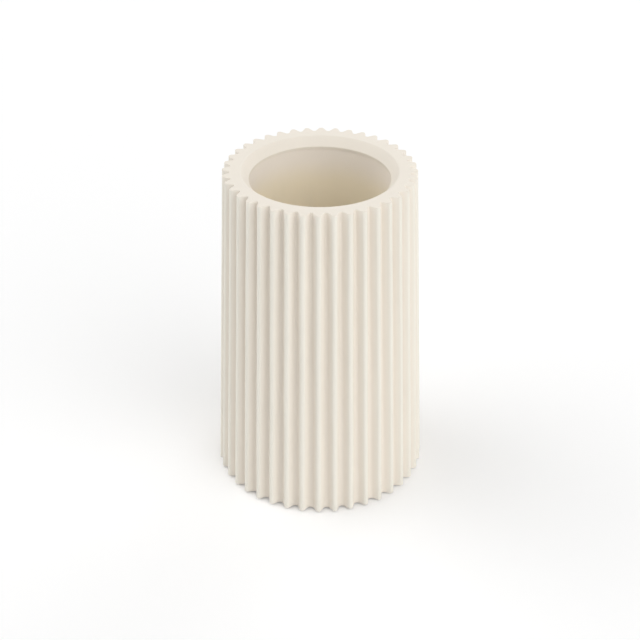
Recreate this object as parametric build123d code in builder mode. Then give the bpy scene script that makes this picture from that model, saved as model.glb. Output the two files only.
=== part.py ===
"""Pen holder cup, in millimetres, +Z up, origin on the desk under the middle of the cup.

A fluted outer shell, wider at its foot than at its rim, carries the flat rim and the bevel that
leads into the bore. It is open below, so that it leaves its mould. A smooth inner cup goes in from
below and seats in a socket behind the bevel. A base plate closes the shell and holds the inner cup
up against its seat. Three countersunk screws hold the plate, and a non-slip pad on an adhesive film
covers them. Nothing moves.
"""

from build123d import *
import os
from math import cos, hypot, pi, radians, sin, tan

# Overall sizes
height = 102.0
base_diameter = 65.4  # over the ridges at the shell's foot
top_diameter = 57.0  # over the ridges at the rim
foot_gap = 0.6  # desk to the shell's foot, so that only the pad touches the desk

# Flutes
flute_count = 40
flute_depth = 2.2  # ridge nose to valley floor
ridge_angle = 56.0  # between the two flanks of a ridge
ridge_nose = 0.9  # radius along each ridge

# Mouth
mouth_diameter = 46.0  # inner edge of the flat rim
bore_diameter = 41.5  # at the foot of the bevel
bevel_depth = 2.7
crease_radius = 0.8  # between flat rim and bevel
lip_height = 0.8  # straight edge under the bevel
lip_radius = 0.3  # between bevel and that edge

# Shell
shell_wall = 2.2  # behind a flute's valley
recess_wall = 1.4  # behind a valley where the base plate sits
socket_depth = 4.4  # height of the socket that holds the inner cup's upper end

# Inner cup
cup_wall = 1.85
cup_floor = 2.0
cup_draft = 0.5  # degrees
skirt_height = 2.0  # ring under the floor, which stands on the base plate
skirt_wall = 2.4
floor_corner_radius = 3.0  # inside, between wall and floor
seam_step = 0.1  # the inner cup's bore stands back from the lip by this much
cup_chamfer = 0.2  # both edges of its upper end

# Base plate
plate_thickness = 2.2
plate_chamfer = 0.3
pad_recess_depth = 0.5
pad_recess_border = 1.0  # width of the rim round the pad's recess
spigot_height = 1.6  # raised disc that centres the inner cup

# Screws: countersunk at 90 degrees, self-tapping
screw_count = 3
screw_length = 8.0  # over the head
screw_diameter = 2.2
screw_head_diameter = 3.8
screw_point = 1.2  # length of the tapered point
screw_point_diameter = 0.6
drive_width = 0.55  # cross recess in the head
drive_length = 2.2
drive_depth = 0.6
boss_diameter = 4.6
boss_height = 9.0
boss_web = 1.6  # width of the web that joins a boss to the wall
pilot_spare = 0.8  # free depth past a screw's point

# Pad
pad_thickness = 1.3
pad_edge_radius = 0.3
film_thickness = 0.2

# Clearances
socket_clearance = 0.1  # inner cup in its socket
plate_clearance = 0.15  # base plate in the shell
spigot_clearance = 0.15  # spigot in the inner cup's skirt
pad_clearance = 0.2  # pad and film in their recess
screw_clearance = 0.15  # screw in the base plate
head_clearance = 0.05  # screw head below the floor of the pad's recess

# Levels, from the desk up
recess_level = pad_thickness + film_thickness  # floor of the pad's recess
plate_bottom = recess_level - pad_recess_depth
plate_top = plate_bottom + plate_thickness
cup_underside = plate_top + skirt_height
floor_level = cup_underside + cup_floor
bevel_foot = height - bevel_depth
lip_level = bevel_foot - lip_height  # upper end of the inner cup
socket_level = lip_level - socket_depth
head_level = recess_level + head_clearance

# Radii
mouth_radius, bore_radius = mouth_diameter / 2, bore_diameter / 2
cup_bore_radius = bore_radius + seam_step
cup_floor_radius = cup_bore_radius - (lip_level - floor_level) * tan(radians(cup_draft))
cup_radius = cup_bore_radius + cup_wall
cup_foot_radius = cup_radius - (socket_level - plate_top) * tan(radians(cup_draft))
skirt_radius = cup_foot_radius - skirt_wall
socket_radius = cup_radius + socket_clearance
valley_foot_radius = base_diameter / 2 - flute_depth
valley_top_radius = top_diameter / 2 - flute_depth
wall_foot_radius = valley_foot_radius - shell_wall
wall_top_radius = valley_top_radius - shell_wall
shoulder_level = socket_level - (wall_top_radius - socket_radius)
plate_recess_radius = valley_foot_radius - recess_wall
plate_radius = plate_recess_radius - plate_clearance
pad_recess_radius = plate_radius - pad_recess_border
pad_radius = pad_recess_radius - pad_clearance
screw_radius, screw_head_radius = screw_diameter / 2, screw_head_diameter / 2
screw_circle_radius = (cup_foot_radius + wall_foot_radius) / 2
boss_web_length = wall_foot_radius + shell_wall / 2 - screw_circle_radius
pilot_depth = head_level + screw_length + pilot_spare - plate_top


def fluted_outline(ridge_radius):
    """Returns the flutes' outline: nosed ridges on ridge_radius, straight flanks, round valleys.

    The first ridge is at the front, -Y.
    """
    flank = radians(ridge_angle / 2)  # between a flank and the radius through its ridge
    half_pitch = pi / flute_count
    corner_radius = ridge_radius + ridge_nose * (1 / sin(flank) - 1)
    flank_run = corner_radius * tan(half_pitch) / (sin(flank) + cos(flank) * tan(half_pitch))
    notch_radius = hypot(corner_radius - flank_run * cos(flank), flank_run * sin(flank))
    notch_fill = ridge_radius - flute_depth - notch_radius
    valley_round = notch_fill / (1 / sin(flank + half_pitch) - 1)
    corners = []
    for ridge in range(flute_count):
        ridge_turn = 2 * half_pitch * ridge - pi / 2
        valley_turn = ridge_turn + half_pitch
        corners.append((corner_radius * cos(ridge_turn), corner_radius * sin(ridge_turn)))
        corners.append((notch_radius * cos(valley_turn), notch_radius * sin(valley_turn)))
    with BuildSketch(mode=Mode.PRIVATE) as outline:
        with BuildLine():
            Polyline(*corners, close=True)
        make_face()
        valleys = outline.vertices().sort_by(lambda v: hypot(v.X, v.Y))[:flute_count]
        fillet(valleys, radius=valley_round)
        ridges = outline.vertices().sort_by(lambda v: hypot(v.X, v.Y))[-flute_count:]
        fillet(ridges, radius=ridge_nose)
    return outline.sketch


def circle_at(part, level, radius):
    """Returns the part's circular edge at a level whose radius is nearest to the one given."""
    circles = part.edges().filter_by(GeomType.CIRCLE).filter_by_position(Axis.Z, level, level)
    return circles.sort_by(lambda edge: abs(edge.radius - radius))[0]


# Fluted shell: ridges and valleys run straight from foot to rim, and the inside is turned out
with BuildPart() as fluted_shell:
    with BuildSketch(Plane.XY.offset(foot_gap)):
        add(fluted_outline(base_diameter / 2))
    with BuildSketch(Plane.XY.offset(height)):
        add(fluted_outline(top_diameter / 2))
    loft(ruled=True)
    with BuildSketch(Plane.XZ):
        with BuildLine():
            Polyline(
                (0, 0),
                (plate_recess_radius, 0),
                (plate_recess_radius, plate_top),
                (wall_foot_radius, plate_top),
                (wall_top_radius, shoulder_level),
                (socket_radius, socket_level),
                (socket_radius, lip_level),
                (bore_radius, lip_level),
                (bore_radius, bevel_foot),
                (mouth_radius, height),
                (0, height),
                close=True,
            )
        make_face()
    revolve(axis=Axis.Z, mode=Mode.SUBTRACT)
    fillet(circle_at(fluted_shell, height, mouth_radius), radius=crease_radius)
    fillet(circle_at(fluted_shell, bevel_foot, bore_radius), radius=lip_radius)
    # Screw bosses, each on a web to the wall
    with BuildSketch(Plane.XY.offset(plate_top)):
        with PolarLocations(screw_circle_radius, screw_count):
            Circle(boss_diameter / 2)
            Rectangle(boss_web_length, boss_web, align=(Align.MIN, Align.CENTER))
    extrude(amount=boss_height)
    # Their holes are drawn at the screw's size, as it leaves them
    with BuildSketch(Plane.XY.offset(plate_top)):
        with PolarLocations(screw_circle_radius, screw_count):
            Circle(screw_radius)
    extrude(amount=pilot_depth, mode=Mode.SUBTRACT)

# Inner cup: a plain tumbler whose upper end seats under the lip
with BuildPart() as inner_cup:
    with BuildSketch(Plane.XZ):
        with BuildLine():
            Polyline(
                (0, cup_underside),
                (skirt_radius, cup_underside),
                (skirt_radius, plate_top),
                (cup_foot_radius, plate_top),
                (cup_radius, socket_level),
                (cup_radius, lip_level),
                (cup_bore_radius, lip_level),
                (cup_floor_radius, floor_level),
                (0, floor_level),
                close=True,
            )
        make_face()
    revolve(axis=Axis.Z)
    fillet(circle_at(inner_cup, floor_level, cup_floor_radius), radius=floor_corner_radius)
    upper_edges = [
        circle_at(inner_cup, lip_level, cup_bore_radius),
        circle_at(inner_cup, lip_level, cup_radius),
    ]
    chamfer(upper_edges, length=cup_chamfer)

# Base plate: a disc with a spigot above and the pad's recess below
with BuildPart() as base_plate:
    with BuildSketch(Plane.XY.offset(plate_bottom)):
        Circle(plate_radius)
    extrude(amount=plate_thickness)
    chamfer(circle_at(base_plate, plate_bottom, plate_radius), length=plate_chamfer)
    with BuildSketch(Plane.XY.offset(plate_bottom)):
        Circle(pad_recess_radius)
    extrude(amount=pad_recess_depth, mode=Mode.SUBTRACT)
    with BuildSketch(Plane.XY.offset(plate_top)):
        Circle(skirt_radius - spigot_clearance)
    extrude(amount=spigot_height)
    with Locations(Plane((0, 0, recess_level), x_dir=(1, 0, 0), z_dir=(0, 0, -1))):
        with PolarLocations(screw_circle_radius, screw_count):
            CounterSinkHole(
                radius=screw_radius + screw_clearance,
                counter_sink_radius=screw_head_radius + head_clearance,
                counter_sink_angle=90,
            )

# One base screw, head down, on the cup's axis
with BuildPart() as screw:
    with BuildSketch(Plane.XZ):
        with BuildLine():
            Polyline(
                (0, head_level),
                (screw_head_radius, head_level),
                (screw_radius, head_level + screw_head_radius - screw_radius),
                (screw_radius, head_level + screw_length - screw_point),
                (screw_point_diameter / 2, head_level + screw_length),
                (0, head_level + screw_length),
                close=True,
            )
        make_face()
    revolve(axis=Axis.Z)
    with BuildSketch(Plane.XY.offset(head_level)):
        Rectangle(drive_length, drive_width)
        Rectangle(drive_width, drive_length)
    extrude(amount=drive_depth, mode=Mode.SUBTRACT)

# Base screws: the same screw in each boss
with BuildPart() as base_screws:
    with PolarLocations(screw_circle_radius, screw_count):
        add(screw.part)

# Pad adhesive: the film that holds the pad and covers the screws
with BuildPart() as pad_adhesive:
    with BuildSketch(Plane.XY.offset(pad_thickness)):
        Circle(pad_radius)
    extrude(amount=film_thickness)

# Foot pad: the only piece that touches the desk
with BuildPart() as foot_pad:
    with BuildSketch(Plane.XY):
        Circle(pad_radius)
    extrude(amount=pad_thickness)
    fillet(circle_at(foot_pad, 0, pad_radius), radius=pad_edge_radius)

os.makedirs("parts", exist_ok=True)

fluted_shell.part.label = "fluted_shell"
export_step(fluted_shell.part, "parts/fluted_shell.step")

inner_cup.part.label = "inner_cup"
export_step(inner_cup.part, "parts/inner_cup.step")

base_plate.part.label = "base_plate"
export_step(base_plate.part, "parts/base_plate.step")

base_screws.part.label = "base_screws"
export_step(base_screws.part, "parts/base_screws.step")

pad_adhesive.part.label = "pad_adhesive"
export_step(pad_adhesive.part, "parts/pad_adhesive.step")

foot_pad.part.label = "foot_pad"
export_step(foot_pad.part, "parts/foot_pad.step")
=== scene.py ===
"""Looks of the pen holder cup, in metres, in the frame of its CAD model.

The shell and the inner cup are rebuilt as fine quad meshes with rounded edges, the screws get their
threads and the pad its soft edge. The base plate and the adhesive film keep their CAD shape. Every
material is procedural.
"""

from math import acos, asin, atan2, cos, hypot, pi, radians, sin, tan

import bmesh
import bpy
from mathutils import Matrix, Vector


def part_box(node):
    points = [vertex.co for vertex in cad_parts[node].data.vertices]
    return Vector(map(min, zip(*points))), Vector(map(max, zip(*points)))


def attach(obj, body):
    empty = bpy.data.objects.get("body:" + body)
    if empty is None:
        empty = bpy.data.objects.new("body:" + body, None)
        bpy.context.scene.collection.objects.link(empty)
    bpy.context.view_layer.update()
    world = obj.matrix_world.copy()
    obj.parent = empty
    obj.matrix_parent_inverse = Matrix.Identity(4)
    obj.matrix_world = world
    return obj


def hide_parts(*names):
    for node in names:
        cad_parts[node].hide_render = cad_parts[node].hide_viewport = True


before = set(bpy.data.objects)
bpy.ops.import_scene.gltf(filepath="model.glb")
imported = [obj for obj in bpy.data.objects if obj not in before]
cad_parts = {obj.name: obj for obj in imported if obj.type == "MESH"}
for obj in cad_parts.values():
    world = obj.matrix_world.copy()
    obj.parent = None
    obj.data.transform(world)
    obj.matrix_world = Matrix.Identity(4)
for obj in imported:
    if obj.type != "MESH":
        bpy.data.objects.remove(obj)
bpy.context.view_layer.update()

MM = 0.001
TURN = 2 * pi
SHARP_ANGLE = radians(35)  # edges sharper than this stay sharp

# Shell sizes that its CAD box gives
shell_low, shell_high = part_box("fluted_shell")
foot_level, rim_level = shell_low.z, shell_high.z
foot_ridge_radius = -shell_low.y  # a ridge stands at the front

# Flutes
FLUTES = 40
RIM_RIDGE_RADIUS = 28.5 * MM
FLUTE_DEPTH = 2.2 * MM
RIDGE_FLANK = radians(28)  # between a flank and the radius through its ridge
RIDGE_NOSE = 0.9 * MM
NOSE_STEPS = 5  # from the middle of a ridge to its flank
FLANK_STEPS = 3
VALLEY_STEPS = 10
EDGE_ROUND = 0.2 * MM  # where the flutes meet the rim and the foot
EDGE_STEPS = 3
WALL_ROWS = 36
WAVER = 0.07 * MM  # how far the ridges stray from straight lines

# Mouth
MOUTH_RADIUS = 23.0 * MM
BORE_RADIUS = 20.75 * MM
BEVEL_DEPTH = 2.7 * MM
CREASE_RADIUS = 0.8 * MM
LIP_HEIGHT = 0.8 * MM
LIP_RADIUS = 0.3 * MM
CREASE_STEPS = 8
RIM_SHARES = (0.35, 0.7)  # rings on the flat rim, from its edge to its crease
bevel_foot = rim_level - BEVEL_DEPTH
lip_level = bevel_foot - LIP_HEIGHT

# Inside of the shell
SHELL_WALL = 2.2 * MM
RECESS_WALL = 1.4 * MM
SOCKET_DEPTH = 4.4 * MM
SOCKET_CLEARANCE = 0.1 * MM
cup_low, cup_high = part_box("inner_cup")
plate_top = cup_low.z
cup_radius = cup_high.x
socket_level = lip_level - SOCKET_DEPTH
socket_radius = cup_radius + SOCKET_CLEARANCE
valley_foot_radius = foot_ridge_radius - FLUTE_DEPTH
valley_rim_radius = RIM_RIDGE_RADIUS - FLUTE_DEPTH
wall_foot_radius = valley_foot_radius - SHELL_WALL
wall_rim_radius = valley_rim_radius - SHELL_WALL

# Inner cup
CUP_WALL = 1.85 * MM
CUP_DRAFT = radians(0.5)
SKIRT_HEIGHT = 2.0 * MM
SKIRT_WALL = 2.4 * MM
CUP_FLOOR = 2.0 * MM
FLOOR_CORNER = 3.0 * MM
CUP_EDGE = 0.2 * MM
CUP_SEGMENTS = 192
cup_foot_radius = cup_radius - (socket_level - plate_top) * tan(CUP_DRAFT)
cup_underside = plate_top + SKIRT_HEIGHT
floor_level = cup_underside + CUP_FLOOR

# Screws and their bosses
SCREWS = 3
SCREW_RADIUS = 1.1 * MM
HEAD_RADIUS = 1.9 * MM
THREAD_PITCH = 0.8 * MM
THREAD_DEPTH = 0.28 * MM
POINT_LENGTH = 1.2 * MM
POINT_RADIUS = 0.3 * MM
SCREW_SEGMENTS = 40
DRIVE_LENGTH = 2.2 * MM
DRIVE_WIDTH = 0.55 * MM
DRIVE_DEPTH = 0.6 * MM
BOSS_RADIUS = 2.3 * MM
BOSS_HEIGHT = 9.0 * MM
BOSS_WEB = 1.6 * MM
PILOT_SPARE = 0.8 * MM
HEAD_CHAMFER = (0.1 * MM, 0.08 * MM)  # across and along
THREAD_ROWS = 12  # to a turn of the thread
THREAD_WIDTH = 2.4  # how steep the thread is
HOLE_SEGMENTS = 32
BOSS_SEGMENTS = 24
screws_low, screws_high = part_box("base_screws")
screw_circle = (cup_foot_radius + wall_foot_radius) / 2

# Pad
PAD_EDGE = 0.3 * MM
PAD_TOP_EDGE = 0.05 * MM
PAD_SEGMENTS = 192
pad_low, pad_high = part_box("foot_pad")

# Colours
# Painted light and shade on the flutes: the ridges paler and more neutral where light falls, the
# valleys darker where shade falls
RIDGE_PAINTED_LIGHT = (0.824, 0.792, 0.712, 1)
FLANK_COLOUR = (0.843, 0.792, 0.713, 1)
VALLEY_PAINTED_SHADE = (0.806, 0.746, 0.664, 1)
RIM_COLOUR = (0.843, 0.791, 0.711, 1)
BORE_COLOUR = (0.860, 0.802, 0.732, 1)
# Painted shade: the deep bore's warm, yellower tone of shade and light bounced inside it
DEEP_BORE_PAINTED_SHADE = (0.876, 0.798, 0.642, 1)
FLANK_SHARE = 0.45  # of the way from the ridges to the valleys
BORE_SHADE_FADE = (2 * MM, 12 * MM)  # below the lip, where the bore's colour begins and ends to change
RIM_FADE = (0.5 * MM, 0.1 * MM)  # below the rim
MOUTH_MARGIN = 0.1 * MM

# Camera
CAMERA_LENS = 81.4  # mm, on a 36 mm sensor
CAMERA_DISTANCE = 0.3775  # along the floor, from the cup's axis
CAMERA_HEIGHT = 0.2909  # above the shell's foot
CAMERA_PITCH = radians(32.6)  # below the horizon
CAMERA_AZIMUTH = 0.0141  # radians, to the right of the front ridge

# Soft panels of the studio: azimuth and elevation in degrees (0 in front of the cup, 90 at its
# right), how narrow each is, and its glow
PANELS = [
    (45, 50, 6, 1.78),
    (-90, 50, 6, 1.96),
    (30, 12, 8, 1.12),
    (60, 12, 8, 0.95),
    (-120, 12, 8, 1.58),
    (150, 12, 8, 2.42),
]


# ---------------------------------------------------------------- meshes


def mesh_object(name, bm):
    """Makes an object from a bmesh, with its faces turned outward."""
    bmesh.ops.recalc_face_normals(bm, faces=bm.faces)
    mesh = bpy.data.meshes.new(name)
    bm.to_mesh(mesh)
    bm.free()
    piece = bpy.data.objects.new(name, mesh)
    bpy.context.scene.collection.objects.link(piece)
    return piece


def combine(piece, other, operation):
    """Joins another object to a piece's mesh, or cuts it out, and removes the other."""
    step = piece.modifiers.new("combine", "BOOLEAN")
    step.operation = operation
    step.solver = "EXACT"
    step.object = other
    shown = piece.evaluated_get(bpy.context.evaluated_depsgraph_get())
    combined = bpy.data.meshes.new_from_object(shown)
    piece.modifiers.clear()
    plain = piece.data
    piece.data = combined
    bpy.data.meshes.remove(plain)
    bpy.data.meshes.remove(other.data)


def finish_piece(piece, material):
    """Shades a piece and lets it ride on the cup's one body."""
    piece.data.materials.clear()
    piece.data.materials.append(material)
    piece.data.shade_smooth()
    piece.data.set_sharp_from_angle(angle=SHARP_ANGLE)
    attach(piece, "root")
    return piece


def corner(before, at, after, radius, steps=6):
    """Points (r, z) that round a profile's corner, from the line before it to the line after it."""
    at = Vector(at)
    back = (Vector(before) - at).normalized()
    ahead = (Vector(after) - at).normalized()
    half = acos(max(-1.0, min(1.0, back.dot(ahead)))) / 2
    centre = at + (back + ahead).normalized() * radius / sin(half)
    first = at + back * radius / tan(half) - centre
    last = at + ahead * radius / tan(half) - centre
    swing = first.angle_signed(last)
    return [tuple(centre + Matrix.Rotation(-swing * i / steps, 2) @ first) for i in range(steps + 1)]


def flute_outline(ridge_radius):
    """One ring of the flutes' outline: a list of (point, outward normal), front ridge first."""
    half_pitch = pi / FLUTES
    tip = ridge_radius + RIDGE_NOSE * (1 / sin(RIDGE_FLANK) - 1)
    run = tip * tan(half_pitch) / (sin(RIDGE_FLANK) + cos(RIDGE_FLANK) * tan(half_pitch))
    notch = hypot(tip - run * cos(RIDGE_FLANK), run * sin(RIDGE_FLANK))
    floor = ridge_radius - FLUTE_DEPTH
    valley_round = (floor - notch) / (1 / sin(RIDGE_FLANK + half_pitch) - 1)
    flank_normal = pi / 2 - RIDGE_FLANK
    nose_centre = Vector((ridge_radius - RIDGE_NOSE, 0))
    valley_line = Vector((cos(half_pitch), sin(half_pitch)))
    valley_centre = valley_line * (floor + valley_round)
    flank = []
    for i in range(NOSE_STEPS + 1):
        normal = Vector((cos(flank_normal * i / NOSE_STEPS), sin(flank_normal * i / NOSE_STEPS)))
        flank.append((nose_centre + normal * RIDGE_NOSE, normal))
    nose_end, flank_out = flank[-1]
    for i in range(VALLEY_STEPS // 2 + 1):
        turn = flank_normal + (half_pitch - flank_normal) * 2 * i / VALLEY_STEPS
        normal = Vector((cos(turn), sin(turn)))
        flank.append((valley_centre - normal * valley_round, normal))
    valley_start = flank[NOSE_STEPS + 1][0]
    straight = [
        (nose_end.lerp(valley_start, i / FLANK_STEPS), flank_out) for i in range(1, FLANK_STEPS)
    ]
    flank[NOSE_STEPS + 1:NOSE_STEPS + 1] = straight
    # The other half of the flute is the first one's mirror image in the valley's line
    across, along = cos(2 * half_pitch), sin(2 * half_pitch)
    mirror = Matrix(((across, along), (along, -across)))
    far_side = [(mirror @ p, mirror @ n) for p, n in reversed(flank[1:-1])]
    ring = []
    for flute in range(FLUTES):
        turn = Matrix.Rotation(2 * half_pitch * flute - pi / 2, 2)
        ring += [(turn @ p, turn @ n) for p, n in flank + far_side]
    return ring


def stray(azimuth, level):
    """How far the wall strays sideways at a place, as a share of WAVER."""
    return (
        0.45 * sin(17 * azimuth + 95 * level + 1.3)
        + 0.35 * sin(29 * azimuth - 160 * level + 4.1)
        + 0.20 * sin(41 * azimuth + 310 * level + 2.2)
    )


def outline_ring(level, inset=0.0):
    """The shell's outline at a level, set in by a distance, as 3-D points."""
    share = (level - foot_level) / (rim_level - foot_level)
    ring = []
    for p, n in flute_outline(foot_ridge_radius + share * (RIM_RIDGE_RADIUS - foot_ridge_radius)):
        q = p - n * inset
        azimuth = atan2(q.y, q.x)
        q = Matrix.Rotation(WAVER * stray(azimuth, level) / q.length, 2) @ q
        ring.append(Vector((q.x, q.y, level)))
    return ring


def circle_ring(like, radius, level):
    """A circle with its points at the azimuths of another ring's."""
    ring = []
    for p in like:
        out = Vector((p.x, p.y)).normalized() * radius
        ring.append(Vector((out.x, out.y, level)))
    return ring


def between(ring_a, ring_b, share):
    return [a.lerp(b, share) for a, b in zip(ring_a, ring_b)]


def skin(bm, rings):
    """Joins rings of equal count with quads, and the last ring to the first."""
    loops = [[bm.verts.new(p) for p in ring] for ring in rings]
    for a, b in zip(loops, loops[1:] + loops[:1]):
        for i in range(len(a)):
            j = (i + 1) % len(a)
            bm.faces.new((a[i], a[j], b[j], b[i]))


def lathe(bm, profile, segments, groove=None):
    """Turns a profile of (r, z) points about Z; a point at r = 0 becomes a pole.

    groove(turn, z) gives how far the surface stands back at a place.
    """
    rings = []
    for r, z in profile:
        if r == 0:
            rings.append([bm.verts.new((0, 0, z))])
            continue
        ring = []
        for i in range(segments):
            turn = TURN * i / segments
            reach = r - (groove(turn, z) if groove else 0)
            ring.append(bm.verts.new((reach * cos(turn), reach * sin(turn), z)))
        rings.append(ring)
    for a, b in zip(rings, rings[1:]):
        for i in range(segments):
            j = (i + 1) % segments
            if len(a) == 1:
                bm.faces.new((a[0], b[j], b[i]))
            elif len(b) == 1:
                bm.faces.new((a[i], a[j], b[0]))
            else:
                bm.faces.new((a[i], a[j], b[j], b[i]))


def prism(bm, outline, low, high):
    """A closed prism over an outline of (x, y) points."""
    floor = [bm.verts.new((x, y, low)) for x, y in outline]
    roof = [bm.verts.new((x, y, high)) for x, y in outline]
    bm.faces.new(floor)
    bm.faces.new(roof)
    for i in range(len(outline)):
        j = (i + 1) % len(outline)
        bm.faces.new((floor[i], floor[j], roof[j], roof[i]))


def rounded(points, radii):
    """A profile's points with some of its corners rounded; radius 0 leaves a corner sharp."""
    profile = []
    for i, (point, radius) in enumerate(zip(points, radii)):
        if radius:
            profile += corner(points[i - 1], point, points[i + 1], radius)
        else:
            profile.append(point)
    return profile


def at_screws(bm, outline, low, high):
    """Prisms over one outline at the place of every screw; x points away from the cup's axis."""
    for i in range(SCREWS):
        turn = TURN * i / SCREWS
        placed = []
        for x, y in outline:
            out = screw_circle + x
            placed.append((out * cos(turn) - y * sin(turn), out * sin(turn) + y * cos(turn)))
        prism(bm, placed, low, high)


def make_shell(material):
    """The fluted shell: one closed skin from the foot up the flutes, over the rim and down inside."""
    rings = []
    for i in range(EDGE_STEPS):
        t = (pi / 2) * i / EDGE_STEPS
        rings.append(outline_ring(foot_level + EDGE_ROUND * (1 - cos(t)), EDGE_ROUND * (1 - sin(t))))
    low, high = foot_level + EDGE_ROUND, rim_level - EDGE_ROUND
    for i in range(WALL_ROWS + 1):
        rings.append(outline_ring(low + (high - low) * i / WALL_ROWS))
    for i in range(1, EDGE_STEPS + 1):
        t = (pi / 2) * i / EDGE_STEPS
        rings.append(outline_ring(high + EDGE_ROUND * sin(t), EDGE_ROUND * (1 - cos(t))))
    edge = rings[-1]
    crease = corner(
        (RIM_RIDGE_RADIUS, rim_level),
        (MOUTH_RADIUS, rim_level),
        (BORE_RADIUS, bevel_foot),
        CREASE_RADIUS,
        CREASE_STEPS,
    )
    lip = corner(
        (MOUTH_RADIUS, rim_level), (BORE_RADIUS, bevel_foot), (BORE_RADIUS, lip_level), LIP_RADIUS
    )
    rim_inner = circle_ring(edge, crease[0][0], rim_level)
    rings += [between(edge, rim_inner, share) for share in RIM_SHARES]
    recess = valley_foot_radius - RECESS_WALL
    shoulder = socket_level - (wall_rim_radius - socket_radius)
    inside = (
        crease
        + lip
        + [(BORE_RADIUS, lip_level), (socket_radius, lip_level), (socket_radius, socket_level)]
        + [(wall_rim_radius, shoulder), (wall_foot_radius, plate_top), (recess, plate_top)]
        + [(recess, foot_level + EDGE_ROUND), (recess + EDGE_ROUND, foot_level)]
    )
    rings += [circle_ring(edge, r, z) for r, z in inside]
    bm = bmesh.new()
    skin(bm, rings)
    shell = mesh_object("shell", bm)

    # Each screw has a round boss on a web, with a blind hole from below
    web_half = BOSS_WEB / 2
    web_angle = asin(web_half / BOSS_RADIUS)
    web_end = wall_foot_radius + SHELL_WALL / 2 - screw_circle
    boss = [(web_end, -web_half), (web_end, web_half)]
    for i in range(BOSS_SEGMENTS + 1):
        turn = web_angle + (TURN - 2 * web_angle) * i / BOSS_SEGMENTS
        boss.append((BOSS_RADIUS * cos(turn), BOSS_RADIUS * sin(turn)))
    bm = bmesh.new()
    at_screws(bm, boss, plate_top, plate_top + BOSS_HEIGHT)
    combine(shell, mesh_object("bosses", bm), "UNION")
    steps = [TURN * i / HOLE_SEGMENTS for i in range(HOLE_SEGMENTS)]
    hole = [(SCREW_RADIUS * cos(turn), SCREW_RADIUS * sin(turn)) for turn in steps]
    bm = bmesh.new()
    at_screws(bm, hole, plate_top - PILOT_SPARE, screws_high.z + PILOT_SPARE)
    combine(shell, mesh_object("holes", bm), "DIFFERENCE")
    finish_piece(shell, material)
    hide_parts("fluted_shell")


def make_inner_cup(material):
    """The tumbler that lines the bore, with its skirt below."""
    bore = cup_radius - CUP_WALL
    floor_radius = bore - (lip_level - floor_level) * tan(CUP_DRAFT)
    skirt_radius = cup_foot_radius - SKIRT_WALL
    points = [
        (0, cup_underside),
        (skirt_radius, cup_underside),
        (skirt_radius, plate_top),
        (cup_foot_radius, plate_top),
        (cup_radius, socket_level),
        (cup_radius, lip_level),
        (bore, lip_level),
        (floor_radius, floor_level),
        (floor_radius / 2, floor_level),
        (0, floor_level),
    ]
    radii = [0, CUP_EDGE, 0, CUP_EDGE, 0, CUP_EDGE, CUP_EDGE, FLOOR_CORNER, 0, 0]
    bm = bmesh.new()
    lathe(bm, rounded(points, radii), CUP_SEGMENTS)
    cup = finish_piece(mesh_object("cup", bm), material)
    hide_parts("inner_cup")


def make_screws(material):
    """Countersunk screws with a cut thread and a cross recess, head down."""
    head, end = screws_low.z, screws_high.z
    neck = head + HEAD_RADIUS - SCREW_RADIUS
    taper = end - POINT_LENGTH
    rows = round((end - neck) / (THREAD_PITCH / THREAD_ROWS))
    across, along = HEAD_CHAMFER
    profile = [(0, head), (HEAD_RADIUS - across, head), (HEAD_RADIUS, head + along)]
    for i in range(rows + 1):
        level = neck + (end - neck) * i / rows
        share = max(0, (level - taper) / POINT_LENGTH)
        profile.append((SCREW_RADIUS + share * (POINT_RADIUS - SCREW_RADIUS), level))
    profile.append((0, end))

    def thread(turn, level):
        if level < neck + THREAD_PITCH / 2:
            return 0
        phase = (level / THREAD_PITCH - turn / TURN) % 1
        fade = min(1, (end - level) / POINT_LENGTH)
        return THREAD_DEPTH * fade * min(1, THREAD_WIDTH * abs(phase - 0.5))

    wide, narrow = DRIVE_LENGTH / 2, DRIVE_WIDTH / 2
    arm = [(wide, -narrow), (wide, narrow), (narrow, narrow)]
    cross = []
    for quarter in range(4):
        turn = Matrix.Rotation(quarter * pi / 2, 2)
        cross += [tuple(turn @ Vector(p)) for p in arm]
    bm = bmesh.new()
    for i in range(SCREWS):
        bar = bmesh.new()
        lathe(bar, profile, SCREW_SEGMENTS, thread)
        turn = TURN * i / SCREWS
        place = Vector((screw_circle * cos(turn), screw_circle * sin(turn), 0))
        matrix = Matrix.Translation(place) @ Matrix.Rotation(turn, 4, "Z")
        bmesh.ops.transform(bar, matrix=matrix, verts=bar.verts)
        one = bpy.data.meshes.new("screw")
        bar.to_mesh(one)
        bar.free()
        bm.from_mesh(one)
        bpy.data.meshes.remove(one)
    screws = mesh_object("screws", bm)
    bm = bmesh.new()
    at_screws(bm, cross, head - DRIVE_DEPTH, head + DRIVE_DEPTH)
    combine(screws, mesh_object("drives", bm), "DIFFERENCE")
    finish_piece(screws, material)
    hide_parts("base_screws")


def make_pad(material):
    """The non-slip pad, with a soft lower edge."""
    radius = pad_high.x
    points = [
        (0, pad_low.z),
        (radius / 2, pad_low.z),
        (radius, pad_low.z),
        (radius, pad_high.z),
        (0, pad_high.z),
    ]
    bm = bmesh.new()
    lathe(bm, rounded(points, [0, 0, PAD_EDGE, PAD_TOP_EDGE, 0]), PAD_SEGMENTS)
    pad = finish_piece(mesh_object("pad", bm), material)
    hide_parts("foot_pad")


# ---------------------------------------------------------------- materials


def calculate(tree, operation, *terms):
    """The result of a Math node, whose terms are numbers or other nodes' outputs."""
    node = tree.nodes.new("ShaderNodeMath")
    node.operation = operation
    for socket, term in zip(node.inputs, terms):
        if isinstance(term, (int, float)):
            socket.default_value = term
        else:
            tree.links.new(term, socket)
    return node.outputs["Value"]


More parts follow.
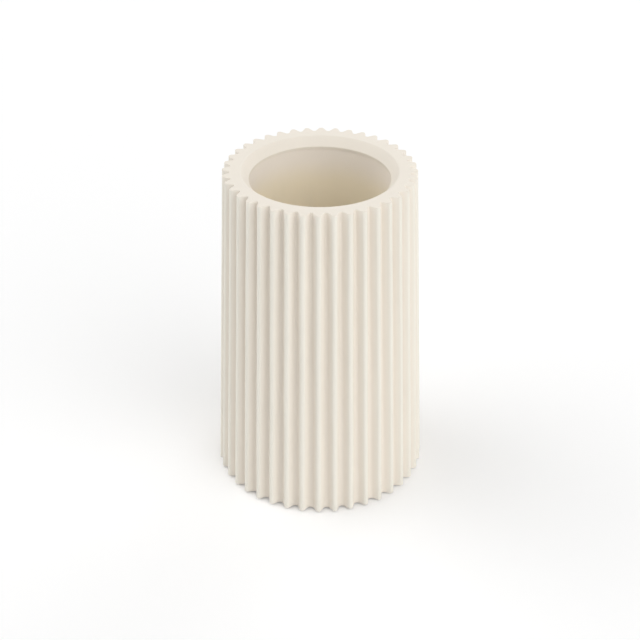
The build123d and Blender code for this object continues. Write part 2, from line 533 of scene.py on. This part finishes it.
class Finish:
    """A material whose colour, gloss and relief come from noise in the object's own space."""

    def __init__(self, name, ior=1.46, specular=0.35, metallic=0.0):
        self.material = bpy.data.materials.new(name)
        self.material.use_nodes = True
        self.nodes = self.material.node_tree.nodes
        self.links = self.material.node_tree.links
        self.shader = self.nodes["Principled BSDF"]
        self.shader.inputs["IOR"].default_value = ior
        self.shader.inputs["Specular IOR Level"].default_value = specular
        self.shader.inputs["Metallic"].default_value = metallic
        self.place = self.nodes.new("ShaderNodeTexCoord")
        self.normal = None

    def noise(self, grain, detail, stretch=(1, 1, 1)):
        """Noise with features about as wide as grain, drawn out along an axis by stretch."""
        mapping = self.nodes.new("ShaderNodeMapping")
        mapping.inputs["Scale"].default_value = [1 / (grain * s) for s in stretch]
        self.links.new(self.place.outputs["Object"], mapping.inputs["Vector"])
        node = self.nodes.new("ShaderNodeTexNoise")
        node.inputs["Scale"].default_value = 1
        node.inputs["Detail"].default_value = detail
        self.links.new(mapping.outputs["Vector"], node.inputs["Vector"])
        return node.outputs["Fac"]

    def spread(self, source, low, high):
        """A noise's middle half, spread over a range."""
        node = self.nodes.new("ShaderNodeMapRange")
        node.inputs["From Min"].default_value = 0.25
        node.inputs["From Max"].default_value = 0.75
        node.inputs["To Min"].default_value = low
        node.inputs["To Max"].default_value = high
        self.links.new(source, node.inputs["Value"])
        return node.outputs["Result"]

    def colour(self, source, first, second):
        blend = self.nodes.new("ShaderNodeMix")
        blend.data_type = "RGBA"
        self.links.new(self.spread(source, 0, 1), blend.inputs["Factor"])
        blend.inputs["A"].default_value = (*first, 1)
        blend.inputs["B"].default_value = (*second, 1)
        self.links.new(blend.outputs["Result"], self.shader.inputs["Base Color"])

    def gloss(self, source, low, high):
        self.links.new(self.spread(source, low, high), self.shader.inputs["Roughness"])

    def relief(self, source, depth, strength=1.0):
        """Adds bumps of a depth on top of those already there."""
        bump = self.nodes.new("ShaderNodeBump")
        bump.inputs["Strength"].default_value = strength
        bump.inputs["Distance"].default_value = depth
        self.links.new(source, bump.inputs["Height"])
        if self.normal:
            self.links.new(self.normal, bump.inputs["Normal"])
        self.normal = bump.outputs["Normal"]
        self.links.new(self.normal, self.shader.inputs["Normal"])


def moulded_grain(finish):
    """Faint flow marks along the height, and the fine grain of a spark-eroded mould."""
    finish.relief(finish.noise(5 * MM, 2, (1, 1, 4)), 0.02 * MM)
    finish.relief(finish.noise(0.25 * MM, 4), 0.012 * MM, 0.6)


def shell_plastic():
    """Matte moulded plastic with grain and flow marks, painted light paler on the ridges, painted
    shade in the valleys.
    """
    finish = Finish("shell_plastic")
    finish.gloss(finish.noise(2.5 * MM, 4), 0.52, 0.72)
    moulded_grain(finish)
    nodes, links = finish.nodes, finish.links

    # How far inside the ridges' cone a point lies
    place = finish.place.outputs["Object"]
    height = nodes.new("ShaderNodeSeparateXYZ")
    links.new(place, height.inputs["Vector"])
    flat = nodes.new("ShaderNodeVectorMath")
    flat.operation = "MULTIPLY"
    flat.inputs[1].default_value = (1, 1, 0)
    links.new(place, flat.inputs[0])
    radius = nodes.new("ShaderNodeVectorMath")
    radius.operation = "LENGTH"
    links.new(flat.outputs["Vector"], radius.inputs[0])
    slope = (RIM_RIDGE_RADIUS - foot_ridge_radius) / (rim_level - foot_level)
    tree = finish.material.node_tree
    start = foot_ridge_radius - foot_level * slope
    cone = calculate(tree, "MULTIPLY_ADD", height.outputs["Z"], slope, start)
    inward = calculate(tree, "SUBTRACT", cone, radius.outputs["Value"])
    depth = nodes.new("ShaderNodeMapRange")
    depth.inputs["From Max"].default_value = FLUTE_DEPTH
    links.new(inward, depth.inputs["Value"])
    # Painted light and shade: paler on the ridges, darker in the valleys
    painted_light_and_shade = nodes.new("ShaderNodeValToRGB")
    ramp = painted_light_and_shade.color_ramp.elements
    ramp[0].color = RIDGE_PAINTED_LIGHT
    ramp[1].color = VALLEY_PAINTED_SHADE
    middle = ramp.new(FLANK_SHARE)
    middle.color = FLANK_COLOUR
    links.new(depth.outputs["Result"], painted_light_and_shade.inputs["Fac"])

    # The rim and the mouth keep the plain colour
    top = nodes.new("ShaderNodeMapRange")
    top.inputs["From Min"].default_value = rim_level - RIM_FADE[0]
    top.inputs["From Max"].default_value = rim_level - RIM_FADE[1]
    links.new(height.outputs["Z"], top.inputs["Value"])
    mouth = calculate(tree, "LESS_THAN", radius.outputs["Value"], MOUTH_RADIUS + MOUTH_MARGIN)
    plain = calculate(tree, "MAXIMUM", top.outputs["Result"], mouth)
    blend = nodes.new("ShaderNodeMix")
    blend.data_type = "RGBA"
    links.new(plain, blend.inputs["Factor"])
    links.new(painted_light_and_shade.outputs["Color"], blend.inputs["A"])
    blend.inputs["B"].default_value = RIM_COLOUR
    mottle = nodes.new("ShaderNodeVectorMath")
    mottle.operation = "SCALE"
    links.new(blend.outputs["Result"], mottle.inputs[0])
    links.new(finish.spread(finish.noise(7 * MM, 4, (1, 1, 3)), 0.985, 1), mottle.inputs["Scale"])
    links.new(mottle.outputs["Vector"], finish.shader.inputs["Base Color"])
    return finish.material


def cup_plastic():
    """The shell's plastic, yellower towards the floor of the bore: painted warm shade deep in the
    bore.
    """
    finish = Finish("cup_plastic")
    finish.gloss(finish.noise(2.5 * MM, 4), 0.55, 0.75)
    moulded_grain(finish)
    height = finish.nodes.new("ShaderNodeSeparateXYZ")
    finish.links.new(finish.place.outputs["Object"], height.inputs["Vector"])
    depth = finish.nodes.new("ShaderNodeMapRange")
    depth.interpolation_type = "SMOOTHSTEP"
    depth.inputs["From Min"].default_value = lip_level - BORE_SHADE_FADE[0]
    depth.inputs["From Max"].default_value = lip_level - BORE_SHADE_FADE[1]
    finish.links.new(height.outputs["Z"], depth.inputs["Value"])
    uneven = finish.spread(finish.noise(6 * MM, 4), -0.06, 0.06)
    painted_shade_share = calculate(finish.material.node_tree, "ADD", depth.outputs["Result"], uneven)
    # Painted shade: the bore's colour turns warmer and yellower with depth, unevenly
    blend = finish.nodes.new("ShaderNodeMix")
    blend.data_type = "RGBA"
    finish.links.new(painted_shade_share, blend.inputs["Factor"])
    blend.inputs["A"].default_value = BORE_COLOUR
    blend.inputs["B"].default_value = DEEP_BORE_PAINTED_SHADE
    finish.links.new(blend.outputs["Result"], finish.shader.inputs["Base Color"])
    return finish.material


def plate_plastic():
    """The same plastic from a coarser mould, a shade greyer."""
    finish = Finish("plate_plastic")
    finish.colour(finish.noise(5 * MM, 4), (0.78, 0.73, 0.64), (0.74, 0.69, 0.60))
    finish.gloss(finish.noise(1.5 * MM, 4), 0.58, 0.78)
    finish.relief(finish.noise(0.4 * MM, 4), 0.03 * MM)
    return finish.material


def zinc_steel():
    """Zinc-plated steel with fine turned lines."""
    finish = Finish("zinc_steel", specular=0.5, metallic=1.0)
    finish.colour(finish.noise(1.2 * MM, 4), (0.66, 0.66, 0.64), (0.54, 0.55, 0.55))
    finish.gloss(finish.noise(0.6 * MM, 4), 0.24, 0.42)
    finish.relief(finish.noise(0.5 * MM, 3, (1, 1, 0.08)), 0.006 * MM)
    return finish.material


def film_adhesive():
    """Translucent double-sided film with trapped air and a tacky surface."""
    finish = Finish("film_adhesive", ior=1.48, specular=0.5)
    finish.colour(finish.noise(3 * MM, 5), (0.80, 0.77, 0.68), (0.70, 0.67, 0.58))
    finish.gloss(finish.noise(0.9 * MM, 3), 0.25, 0.55)
    finish.relief(finish.noise(1.6 * MM, 3), 0.02 * MM)
    finish.shader.inputs["Transmission Weight"].default_value = 0.35
    return finish.material


def pad_rubber():
    """Silicone rubber: matte, faintly dusty, with a fine pebble grain."""
    finish = Finish("pad_rubber", ior=1.41, specular=0.3)
    finish.colour(finish.noise(6 * MM, 5), (0.57, 0.55, 0.51), (0.49, 0.47, 0.43))
    finish.gloss(finish.noise(2 * MM, 4), 0.70, 0.92)
    finish.relief(finish.noise(4 * MM, 2), 0.03 * MM)
    finish.relief(finish.noise(0.35 * MM, 3), 0.04 * MM)
    return finish.material


def give(node, material):
    """Puts a material on a CAD node that keeps its shape."""
    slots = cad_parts[node].data.materials
    slots.clear()
    slots.append(material)


# ---------------------------------------------------------------- studio


def studio():
    """A pale floor in a room lit by a few large soft panels."""
    scene = bpy.context.scene
    scene.view_settings.view_transform = "Standard"
    world = bpy.data.worlds.new("room")
    scene.world = world
    world.use_nodes = True
    nodes, links = world.node_tree.nodes, world.node_tree.links
    background = nodes["Background"]
    place = nodes.new("ShaderNodeTexCoord")
    tree = world.node_tree
    total = None
    for azimuth, elevation, focus, glow in PANELS:
        a, e = radians(azimuth), radians(elevation)
        toward = nodes.new("ShaderNodeVectorMath")
        toward.operation = "DOT_PRODUCT"
        toward.inputs[1].default_value = (sin(a) * cos(e), -cos(a) * cos(e), sin(e))
        links.new(place.outputs["Generated"], toward.inputs[0])
        front = calculate(tree, "MAXIMUM", toward.outputs["Value"], 0)
        panel = calculate(tree, "MULTIPLY", calculate(tree, "POWER", front, focus), glow)
        total = calculate(tree, "ADD", total, panel) if total else panel
    # The room itself looks plain and pale where the floor ends
    sight = nodes.new("ShaderNodeLightPath")
    seen = calculate(tree, "MAXIMUM", total, sight.outputs["Is Camera Ray"])
    links.new(seen, background.inputs["Strength"])
    background.inputs["Color"].default_value = (1.0, 0.995, 0.985, 1)

    bm = bmesh.new()
    bmesh.ops.create_grid(bm, x_segments=8, y_segments=8, size=2.5)
    floor = mesh_object("floor", bm)
    paper = bpy.data.materials.new("floor_paper")
    paper.use_nodes = True
    shader = paper.node_tree.nodes["Principled BSDF"]
    shader.inputs["Base Color"].default_value = (0.94, 0.945, 0.955, 1)
    shader.inputs["Emission Color"].default_value = (1, 1, 1, 1)
    shader.inputs["Emission Strength"].default_value = 0.035
    shader.inputs["Roughness"].default_value = 0.9
    shader.inputs["Specular IOR Level"].default_value = 0.1
    floor.data.materials.append(paper)


def camera():
    """A long lens in front of the cup and above it, looking down."""
    lens = bpy.data.cameras.new("camera")
    lens.sensor_width = 36
    lens.lens = CAMERA_LENS
    lens.clip_start, lens.clip_end = 0.01, 20
    holder = bpy.data.objects.new("camera", lens)
    out = Vector((sin(CAMERA_AZIMUTH), -cos(CAMERA_AZIMUTH), 0)) * CAMERA_DISTANCE
    holder.location = (out.x, out.y, foot_level + CAMERA_HEIGHT)
    holder.rotation_euler = (pi / 2 - CAMERA_PITCH, 0, CAMERA_AZIMUTH)
    bpy.context.scene.collection.objects.link(holder)
    bpy.context.scene.camera = holder


make_shell(shell_plastic())
make_inner_cup(cup_plastic())
make_screws(zinc_steel())
make_pad(pad_rubber())
give("base_plate", plate_plastic())
give("pad_adhesive", film_adhesive())
studio()
camera()
